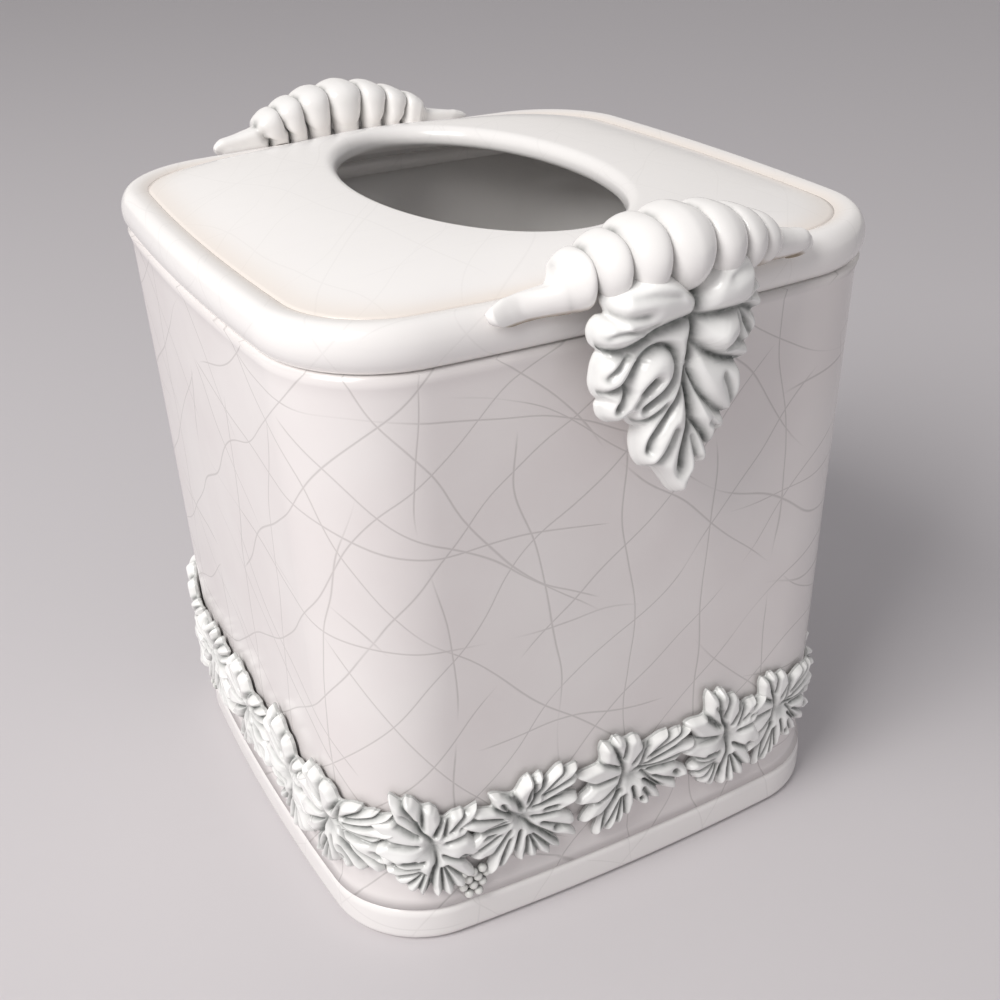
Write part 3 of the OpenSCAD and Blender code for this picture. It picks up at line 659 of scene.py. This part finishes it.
# Mounds: middle x and z, half widths, height
LEAF_MOUNDS = [
    (-8, 156.3, 9, 4, 2.4), (-14, 151, 6, 3.2, 1.4), (8.5, 155.3, 7, 4.5, 2.4), (7.2, 145.6, 3.4, 3, 2.2),
    (-7, 140, 4.5, 5, 1.0), (-16, 142, 4, 5, 0.4), (0, 118, 7, 6, -0.3), (16, 146, 4, 6, -1.4),
    (6, 134, 4, 6, 0.8), (-12, 135, 4, 4, -0.6)]
LEAF_MIDDLE = np.array([0.4, 141.0])
# How far the back stands out and how hollow it is, the lip's height and rounding, how thick the pillows
# are, and how much wider than their radius the creases round over
LEAF_BACK, LEAF_HOLLOW, LEAF_LIP, LIP_ROUND, LEAF_PUFF, LEAF_WIDEN = 6.8, 0.8, 2.2, 2.6, 4.1, 1.5

# %% Hanging leaf shape
leaf_edge = smooth_curve(LEAF_OUTLINE, 8, closed=True)
leaf_shares = np.linspace(0, 1, 82)[1:] ** 0.85
leaf_grid = LEAF_MIDDLE + leaf_shares[:, None, None] * (leaf_edge - LEAF_MIDDLE)[None]
# The outline's stain and its spread in mm, and a crease's spread in mm and as a share of its radius
RIM_STAIN, RIM_SPREAD, CREASE_SPREAD, STAIN_SPREAD = 0.12, 0.5, 0.25, 0.26
# Lowest height as a share of the pillows' thickness
LOWEST = -0.12


def relief(grid, edge, creases, mounds, puff, lip_round, widen):
    """Height of a pressed leaf, and how much stain stays. A crease is its depth, radius and knots: the
    clay drops there by a pillow's edge that rounds over widen times the radius."""
    rim = path_distance(grid, np.concatenate([edge, edge[:1]]))
    drop = (puff * (1 - quarter_round(rim, lip_round))) ** 3
    stain = RIM_STAIN * np.exp(-rim / RIM_SPREAD)
    for depth, radius, knots in creases:
        away = path_distance(grid, smooth_curve(knots, 5))
        drop = drop + (puff * depth * (1 - quarter_round(away, widen * radius))) ** 3
        spread = CREASE_SPREAD + STAIN_SPREAD * radius
        stain = np.maximum(stain, depth * np.exp(-(away / spread) ** 1.5))
    height = np.maximum(puff - np.cbrt(drop), LOWEST * puff)
    for x, z, wide, high, lift in mounds:
        u = ((grid[..., 0] - x) / wide) ** 2 + ((grid[..., 1] - z) / high) ** 2
        height = height + lift * np.exp(-u) * quarter_round(rim, lip_round)
    return height, stain


leaf_height, leaf_stain = relief(
    leaf_grid, leaf_edge, LEAF_CREASES, LEAF_MOUNDS, LEAF_PUFF, LIP_ROUND, LEAF_WIDEN)
leaf_height = soften(leaf_height, 7)
print("hanging leaf:", leaf_grid.shape[:2], "points, tallest", round(float(leaf_height.max()), 2), "mm")

# %% Hanging leaves
# Rows round the lip, and how far it bulges as a share of its height
SIDE_ROWS, BULGE = 6, 0.35
# How far the sides and the tip bend back, and how far the upper part leans to the right, in mm. Then
# the distance at which the sides bend so far, and where the tip's bend and the lean start, and their
# length
SIDE_BEND, TIP_BEND, LEAN = 1.0, 0.3, 1.0
SIDE_REACH, TIP_FROM, LEAN_FROM = 20, (-132, 18), (122, 20)
# Stain on the lip, on the back and at the middle of the face
LIP_STAIN, BACK_STAIN, MIDDLE_STAIN = 0.12, 0.35, 0.8


def leaf_solid(grid, height, base, lip, back_hollow):
    """Rows of a closed leaf, from the middle of the face to the edge, round the lip and back along the
    rear to the middle. The third coordinate is how far a point stands out."""
    face = np.concatenate([grid, (base + lip + height)[..., None]], -1)
    turn = np.radians(np.linspace(15, 165, SIDE_ROWS))[:, None, None]
    edge, inner = grid[-1][None], grid[-3][None]
    normal = edge - inner
    normal = normal / np.maximum(np.linalg.norm(normal, axis=-1, keepdims=True), 1e-6)
    bulge = edge + normal * BULGE * lip * np.sin(turn)
    lip_height = base[-1][None, :, None] + lip * (1 + np.cos(turn)) / 2
    side = np.concatenate([bulge, lip_height * np.ones(bulge[..., :1].shape)], -1)
    shares = slice(None, None, -8)
    rear_height = base[shares] + back_hollow * (1 - np.linspace(1, 0, len(grid[shares])) ** 2)[:, None]
    rear = np.concatenate([grid[shares], rear_height[..., None]], -1)
    return np.concatenate([face, side, rear])


leaf_x, leaf_z = leaf_grid[..., 0], leaf_grid[..., 1]
bend = SIDE_BEND * (leaf_x / SIDE_REACH) ** 2 + TIP_BEND * ramp(-leaf_z, *TIP_FROM) ** 2
leaf = leaf_solid(leaf_grid, leaf_height, LEAF_BACK - bend, LEAF_LIP, LEAF_HOLLOW)
leaf_right = leaf[..., 0] + LEAN * ramp(leaf[..., 1], *LEAN_FROM)
leaf_points = front_point(leaf_right, leaf[..., 2], leaf[..., 1])
leaf_wash = np.full(leaf_points.shape[:2], BACK_STAIN)
leaf_wash[:len(leaf_grid)] = leaf_stain
leaf_wash[len(leaf_grid):len(leaf_grid) + SIDE_ROWS] = LIP_STAIN
for name, side in (("front_leaf", 1), ("rear_leaf", -1)):
    make_tube("pressed_" + name, leaf_points * [side, side, 1], "washed_leaf_glaze", name, leaf_wash,
              [MIDDLE_STAIN, BACK_STAIN])

# %% [markdown]
# ## The garland
# Twenty small vine leaves run round the wall above the foot, five a side, pressed from three moulds. A
# leaf is a set of fans. Each fan is a hub and the tips of its narrow fingers. Between two fingers there
# is a notch, and a crease runs from the notch to the hub. So a mould is a short table of tips, and the
# outline and the creases follow from it. A dark vein crosses the leaf, its heart lies lower, and small
# eyes are pressed in where the real leaf folds.

# %% The three moulds
# Each fan is a hub and its tips, clockwise, as x and z in mm from the leaf's middle. A line is a depth, a
# rounding radius and its points. A mound is its middle, its two half widths and its height.
MOULDS = [
    {"fans": [
      ((-2.2, 4.2), [(-8.3, 15.2), (-4.2, 14.6), (0.4, 11.3)]), ((2.8, 2.6), [(5.2, 8.6), (9.4, 8.5)]),
      ((2.5, -1.5), [(9.6, -4)]), ((1.2, -5), [(8.3, -11.2), (5.7, -14), (2.6, -15.2), (-0.3, -15)]),
      ((-1.8, -7), [(-2.8, -14.4), (-5.7, -12.6), (-8, -9.8), (-10.2, -6.6)]),
      ((-3, -1.5), [(-12.4, -1.2)]), ((-3.6, 2.6), [(-12.8, 7.6)])],
     "lines": [
      (1, 1.5, [(-3.4, 8), (-2.4, 4.6), (-1, 2.5), (0.1, -1.4), (0.3, -5.2), (-1, -8.7),
          (-2.2, -13.6)]),
      (1, 1.1, [(-6.9, 6.9), (-3.8, 3.8)]), (0.6, 0.9, [(-5.8, 10.6), (-3.6, 7.4)]),
      (1, 1.1, [(3.1, 8.2), (2.2, 2.8)]), (0.8, 1, [(5.6, 3.9), (8.2, 5.4)]),
      (0.7, 1, [(-4, 0.4), (-8, 0.9), (-11.5, 1.8)]), (0.8, 1, [(-3.4, -6), (-6.4, -5.8), (-9, -4.4)]),
      (1.3, 1.2, [(5.5, -4.1), (6.4, -4.7)]), (1.2, 1, [(-4.2, -3.6), (-6, -3.4)]),
      (0.6, 0.9, [(6.8, -6.4), (8.4, -9)])],
     "mounds": [
      (4.5, -2, 2.4, 3.2, 0.7), (-6, -2.6, 3.4, 2.6, 0.8), (-5.6, 13, 2, 3, 0.7),
      (1.2, -14, 3, 2.4, 0.5)]},
    {"fans": [
      ((-1.6, 1.6), [(-6.9, 9)]), ((0.9, 2.4), [(1.2, 10.8), (4.4, 10.3)]),
      ((3.2, 3.2), [(8.4, 10.8), (12.6, 9.2), (12.4, 5.2)]), ((2, 0), [(12.6, 0.6)]),
      ((2.6, -3), [(11.8, -5.8), (12.4, -12)]),
      ((1, -5), [(8.6, -13.2), (5.6, -14.4), (1.8, -13.4), (-1, -13.4)]),
      ((-2.4, -4), [(-5, -13), (-8, -14.6)]), ((-4, -2.8), [(-11, -8.2), (-12.8, -4)]),
      ((-3, 0.4), [(-14, 3.2), (-10.6, 5.8)])],
     "lines": [
      (1, 1.4, [(-4.6, 5.6), (-3.4, 3), (-1.4, 0.2), (0.8, -2.4), (2.2, -4.6), (4.4, -7), (8, -11.6)]),
      (1, 1.2, [(-4.4, 8.4), (-1, 4.6), (0, 1.8)]), (1, 1.1, [(2.7, 8.2), (2.6, 4), (1.4, 1.8)]),
      (0.9, 1, [(10.4, 4), (6, 2.6), (3, 1.6)]), (0.8, 1, [(-12, -0.6), (-8, 0), (-4, 0)]),
      (1.3, 1.2, [(5.2, -0.2), (7.6, -0.4)]), (1.1, 1, [(-8.4, -2.4), (-6.8, -2.6)]),
      (1.2, 1.1, [(7.4, -7), (8.6, -7.2)]), (0.9, 1, [(0, -11.6), (1, -8.2)])],
     "mounds": [
      (1.6, 9.6, 1.6, 2.2, 0.8), (10.8, 0, 2.2, 2.6, 0.9), (-3.6, 5, 1.2, 3.4, 0.8),
      (-11, 0.6, 2.8, 2.4, 0.6), (-7, -12, 2, 3.4, 0.5)]},
    {"fans": [
      ((-1.2, 4), [(-6.4, 11.8), (-3, 12.2), (1.9, 10.6)]),
      ((3.8, 2.4), [(9.2, 8.4), (12.8, 7.4), (16.2, 6.6)]), ((5, 0.4), [(17.2, 2.2)]),
      ((4.6, -2), [(15.4, -6.2), (12, -10.4)]), ((3, -4.2), [(8.4, -10.8), (4.4, -11.6)]),
      ((-0.8, -4.4), [(0.4, -12.4), (-1.9, -14.2), (-4.4, -15), (-8, -15.2)]),
      ((-3.2, -3.6), [(-11.4, -9.4)]), ((-2.6, -0.8), [(-12.6, -3)]), ((-3, 1.8), [(-12.4, 4.8)])],
     "lines": [
      (1, 1.4, [(-2.6, 7), (-1.6, 4), (-1, 1.2), (-1.8, -1.6), (-3.4, -5), (-5.4, -9), (-6.2, -13)]),
      (1, 1.2, [(5.4, 8.4), (4, 4.8), (3, 1.4)]),
      (1, 1.1, [(13.6, 0.4), (9, 0), (5.4, 0.2), (2, 0.6)]),
      (1, 1.1, [(8.6, -7.6), (6, -4.6), (4.6, -2.2), (3.4, -0.6)]),
      (1.3, 1.2, [(11.8, -4.2), (12.4, -5.2)]), (1.1, 1.1, [(3.2, -8.2), (3.6, -9.2)]),
      (1.1, 1, [(-8.8, -4.4), (-7.4, -4.8)]), (0.7, 1, [(9, 2.6), (13.8, 4.2)])],
     "mounds": [
      (2.4, -4.8, 2.6, 3, 0.8), (8.8, -3.2, 2.4, 2.2, 0.6), (15, -5.4, 1.6, 2.4, 0.8),
      (-7, -3, 2.8, 2.2, 0.7), (-4.6, 11, 2.4, 2, 0.6), (15.6, 3.4, 2.2, 2.6, 0.7)]}]
# Height of the garland's middle, its thickness in the solid, and the number of leaves
GARLAND_Z, GARLAND_T, LEAVES_PER_SIDE = 32.8, 4.6, 5
# Thickness of a leaf's pillows, how its lip and creases round over, and the lip's height
GARLAND_PUFF, GARLAND_ROUND, GARLAND_WIDEN, GARLAND_LIP = 2.3, 1.5, 1.15, 0.8
# Notches between fingers and between fans, as shares from the hub, and a finger's shoulders: how far
# they lie from its tip towards the notches, and how far out
NOTCH, FAN_NOTCH, SHOULDERS, OUTER = 0.90, 0.64, 0.38, 0.06
# A crease's depth between fingers and between fans, its radius, and where it starts and ends, as shares
# from the hub to the notch
FINGER_CREASE, FAN_CREASE, CREASE_R, CREASE_START, CREASE_END = 0.95, 1.15, 1.1, 1.12, 0.2
# The heart: radius and height, and its stain's strength and radius
HEART_R, HEART_DROP, HEART_STAIN, HEART_SPREAD = 2.8, -1.2, 0.6, 2.4

# %% From a mould to a grid


def fan_leaf(fans):
    """Knots of the outline and the creases of a leaf. A notch between tips p and q lies at
    hub + k ((p + q) / 2 - hub), with k smaller between two fans. Shoulders round each finger's end."""
    hubs = np.array([hub for hub, tips in fans for _ in tips])
    tips = np.array([tip for _, tips in fans for tip in tips])
    next_hubs, next_tips = np.roll(hubs, -1, 0), np.roll(tips, -1, 0)
    same = (hubs == next_hubs).all(1)
    base = (hubs + next_hubs) / 2
    notches = base + np.where(same, NOTCH, FAN_NOTCH)[:, None] * ((tips + next_tips) / 2 - base)
    before, after = np.roll(notches, 1, 0) - tips, notches - tips
    lean = OUTER * (tips - hubs)
    left, right = tips + SHOULDERS * before + lean, tips + SHOULDERS * after + lean
    knots = np.stack([left, tips, right, notches], 1)
    creases = []
    for joined, notch, hub in zip(same, notches, base):
        depth, end = (FINGER_CREASE, CREASE_END) if joined else (FAN_CREASE, 0.0)
        places = [hub + share * (notch - hub) for share in (CREASE_START, 0.5, end)]
        creases.append((depth, CREASE_R, places))
    return knots.reshape(-1, 2), creases


def garland_mould(mould):
    """Rows of a flat leaf from its middle to its edge, their height, and where the stain stays."""
    knots, creases = fan_leaf(mould["fans"])
    edge = smooth_curve(knots, 6, closed=True)
    shares = np.linspace(0, 1, 35)[1:, None, None] ** 0.9
    grid = shares * edge[None]
    heart = np.mean([hub for hub, _ in mould["fans"]], 0)
    mounds = mould["mounds"] + [(*heart, HEART_R, HEART_R, HEART_DROP)]
    height, stain = relief(grid, edge, creases + mould["lines"], mounds, GARLAND_PUFF, GARLAND_ROUND,
                           GARLAND_WIDEN)
    from_heart2 = ((grid - heart) ** 2).sum(-1)
    stain = np.maximum(stain, HEART_STAIN * np.exp(-from_heart2 / HEART_SPREAD ** 2))
    return grid, soften(np.maximum(height, 0.1), 1), stain


moulds = [garland_mould(mould) for mould in MOULDS]
for grid, height, stain in moulds:
    print("mould:", grid.shape[:2], "grid points, tallest", round(float(height.max()), 2), "mm")

# %% Bend along the wall
garland_inset = wall_inset(GARLAND_Z) - GARLAND_T / 2
side_arc, corner_arc = SIDE_R - garland_inset, CORNER_R - garland_inset
half_side = side_arc * np.radians(SIDE_TURN)
side_length = 2 * (half_side + corner_arc * np.radians(45 - SIDE_TURN))
pitch = side_length / LEAVES_PER_SIDE


def wall_point(along, z, out):
    """Point that stands out from the wall, at a distance along it from the middle of the front: the
    direction that the wall faces grows slowly along a side and fast round a corner."""
    side = np.floor(along / side_length + 0.5)
    local = along - side * side_length
    past = np.maximum(0, np.abs(local) - half_side)
    turned = np.minimum(np.abs(local), half_side) / side_arc + past / corner_arc
    turn = side * 90 + np.sign(local) * np.degrees(turned)
    x, y = outline(turn - 90, np.maximum(wall_inset(z) - SEAT_GAP - out, -0.02))
    return np.stack(np.broadcast_arrays(x, y, z), -1)


print("garland:", round(float(side_length), 1), "mm a side, a leaf every", round(float(pitch), 1), "mm")

# %% Garland leaves
# Mould, turn in degrees, and how far each leaf of a side is moved up and along, in mm
SETTING = [(0, 0, -2.3, -0.2), (1, 0, -1.4, -3.9), (2, 0, -0.9, -1.2), (0, 6, -1.8, 3.4),
           (2, -3, -0.4, -1.6)]
SPREAD = 1.13
# Two leaves next to a corner differ: mould, how far along and up in mm, and how far the leaf spreads
ODD_LEAVES = {4: (2, -4.4, -0.3, 0.9), 5: (1, 4.5, -1.6, 0.95)}
# How far the middle and the edge of a leaf stand off the wall, in mm, and the stain on its lip and back
MIDDLE_OFF, EDGE_OFF, LOW_STAIN = 0.1, 0.6, 0.6

for number in range(4 * LEAVES_PER_SIDE):
    mould, angle, raised, slid = SETTING[number % LEAVES_PER_SIDE]
    mould, moved, lifted, spread = ODD_LEAVES.get(number, (mould, 0.0, 0.0, SPREAD))
    grid, height, stain = moulds[mould]
    off = MIDDLE_OFF + (EDGE_OFF - MIDDLE_OFF) * np.linspace(0, 1, len(grid))[:, None] ** 2 + 0 * height
    leaf = leaf_solid(grid, height, off, GARLAND_LIP, -MIDDLE_OFF)
    c, s = np.cos(np.radians(angle)), np.sin(np.radians(angle))
    x, z = spread * (leaf[..., 0] * c + leaf[..., 1] * s), leaf[..., 1] * c - leaf[..., 0] * s
    along = (number - (LEAVES_PER_SIDE - 1) / 2) * pitch + slid + moved
    bent = wall_point(along + x, GARLAND_Z + raised + lifted + z, leaf[..., 2] * spread / SPREAD)
    wash = np.full(bent.shape[:2], LOW_STAIN)
    wash[:len(stain)] = stain
    node = "garland_leaf_%d" % (number + 1)
    make_tube("pressed_" + node, bent, "washed_leaf_glaze", node, wash, [stain[0].mean(), LOW_STAIN])

# %% [markdown]
# ## The grapes
# A small bunch sits low between the first two leaves of each side. The potter rolls balls of clay and
# presses them on, so the bunch is a heap of balls side by side, in rows of two, three, four and three,
# with the middle ones out in front. Each ball is a sphere written as a function of two angles.

# %% Grapes
GRAPE_R, BERRY_STEP, ROW_STEP = 1.15, 2.4, 2.15
BERRY_ROWS = (2, 3, 4, 3)
# Place of a bunch: in leaves along from the middle of a side, and in mm above the foot
BUNCH_ALONG, BUNCH_Z = -1.65, 2.6
RINGS, MERIDIANS = 11, 18


def grape(centre, radius):
    """Sphere: centre + radius * (cos up * cos round, cos up * sin round, sin up), then its poles."""
    up = np.radians(np.linspace(-80, 80, RINGS))[:, None]
    turn = np.linspace(0, 2 * np.pi, MERIDIANS, endpoint=False)[None, :]
    shape = np.stack([np.cos(up) * np.cos(turn), np.cos(up) * np.sin(turn),
                      np.sin(up) + 0 * turn], -1).reshape(-1, 3)
    return centre + radius * np.concatenate([shape, [(0, 0, -1), (0, 0, 1)]])


berry_row = np.repeat(np.arange(len(BERRY_ROWS)), BERRY_ROWS)
berry_place = np.concatenate([np.arange(n) - (n - 1) / 2 for n in BERRY_ROWS])
heaped = 0.5 * np.cos(1.2 * berry_place) + 0.15 * np.cos(2.1 * berry_row)
each = RINGS * MERIDIANS + 2
for number in range(4):
    along = number * side_length + BUNCH_ALONG * pitch + BERRY_STEP * berry_place
    centres = wall_point(along, FOOT_H + BUNCH_Z + ROW_STEP * berry_row, 0.9 * GRAPE_R + heaped)
    balls = np.concatenate([grape(centre, GRAPE_R) for centre in centres])
    firsts = each * np.arange(len(centres))[:, None, None]
    quads = (grid_quads(RINGS, MERIDIANS) + firsts).reshape(-1, 4)
    fans = (end_fans(RINGS, MERIDIANS, each - 2, each - 1) + firsts).reshape(-1, 3)
    middle = centres.mean(0)
    outward = middle * [1, 1, 0] / np.linalg.norm(middle[:2])
    ahead = ((balls - np.repeat(centres, each, 0)) @ outward) / GRAPE_R
    node = "grape_bunch_%d" % (number + 1)
    make_piece("pressed_" + node, balls, quads, fans, "washed_grape_glaze", node, 0.7 - ahead, craze=0.0)

# %% [markdown]
# ## Camera, floor and light
# The camera's place was found by fitting the outline's measured points: it looks from 29 degrees above
# and 28 degrees to the left of the front. The floor and the backdrop are plain and pale. The light is
# that of a room with a window on the left: one large soft lamp from the upper left, and an even glow from
# all round that keeps the shaded front readable.

# %% Camera
CAMERA_TURN, CAMERA_UP, CAMERA_ROLL = np.radians((-27.71, 28.578, -1.952))
TARGET = np.array([3.439, -1.588, 72.307])
DISTANCE, FOCAL_SHARE, SENSOR = 353.26, 1.338689, 36.0

flat = np.array([np.sin(CAMERA_TURN), -np.cos(CAMERA_TURN), 0.0])
back = flat * np.cos(CAMERA_UP) + np.array([0.0, 0.0, np.sin(CAMERA_UP)])
level = np.array([np.cos(CAMERA_TURN), np.sin(CAMERA_TURN), 0.0])
upright = np.cross(back, level)
right = level * np.cos(CAMERA_ROLL) + upright * np.sin(CAMERA_ROLL)
up = upright * np.cos(CAMERA_ROLL) - level * np.sin(CAMERA_ROLL)
camera = bpy.data.objects.new("camera", bpy.data.cameras.new("camera"))
bpy.context.collection.objects.link(camera)
camera.data.sensor_width, camera.data.lens = SENSOR, SENSOR * FOCAL_SHARE
camera.data.clip_start, camera.data.clip_end = 0.01, 20.0
pose = np.eye(4)
pose[:3, :3] = np.stack([right, up, back], 1)
pose[:3, 3] = (TARGET + DISTANCE * back) * MM
camera.matrix_world = Matrix(pose.tolist())
bpy.context.scene.camera = camera
print("camera: lens", round(camera.data.lens, 2), "mm")

# %% Floor
FLOOR, FLOOR_HALF = "#D3CFD1", 6.0

paper = bpy.data.materials.new("matt_paper_floor")
paper.use_nodes = True
for key, value in (("Base Color", linear(FLOOR)), ("Roughness", 0.85)):
    paper.node_tree.nodes["Principled BSDF"].inputs[key].default_value = value
floor_mesh = bpy.data.meshes.new("floor")
floor_corners = [(x * FLOOR_HALF, y * FLOOR_HALF, 0) for x, y in ((-1, -1), (1, -1), (1, 1), (-1, 1))]
floor_mesh.from_pydata(floor_corners, [], [(0, 1, 2, 3)])
floor_mesh.materials.append(paper)
floor = bpy.data.objects.new("floor", floor_mesh)
bpy.context.collection.objects.link(floor)
print("floor:", 2 * FLOOR_HALF, "m square")

# %% Light
BACKDROP, GLOW, GLOW_STRENGTH = "#EDE8E3", "#F2F1F4", 0.40
LAMP_PLACE, LAMP_AIM = (-1.05, -0.36, 1.12), (0, 0, 0.07)
LAMP_SIZE, LAMP_WATTS, LAMP = 0.8, 18.5, "#FFFDFB"

world = bpy.data.worlds.new("room")
bpy.context.scene.world = world
world.use_nodes = True
tree = world.node_tree
tree.nodes.clear()
# Rays from the camera, mirrored and through glass see the backdrop, and all others meet the glow
rays = add(tree, "ShaderNodeLightPath").outputs
seen = maths(tree, "MAXIMUM", rays["Is Camera Ray"], rays["Is Glossy Ray"])
seen = maths(tree, "MAXIMUM", seen, rays["Is Transmission Ray"])
glow = add(tree, "ShaderNodeBackground", {"Color": linear(GLOW), "Strength": GLOW_STRENGTH})
backdrop = add(tree, "ShaderNodeBackground", {"Color": linear(BACKDROP), "Strength": 1.0})
both = add(tree, "ShaderNodeMixShader", {0: seen, 1: glow.outputs[0], 2: backdrop.outputs[0]})
add(tree, "ShaderNodeOutputWorld", {"Surface": both.outputs[0]})

lamp = bpy.data.lights.new("window", "AREA")
lamp.size, lamp.energy, lamp.color = LAMP_SIZE, LAMP_WATTS, linear(LAMP)[:3]
window = bpy.data.objects.new("window", lamp)
bpy.context.collection.objects.link(window)
window.location = LAMP_PLACE
window.rotation_euler = (Vector(LAMP_AIM) - Vector(LAMP_PLACE)).to_track_quat("-Z", "Y").to_euler()
bpy.context.scene.view_settings.view_transform = "Standard"
print("lamp:", LAMP_WATTS, "W,", LAMP_SIZE, "m square")
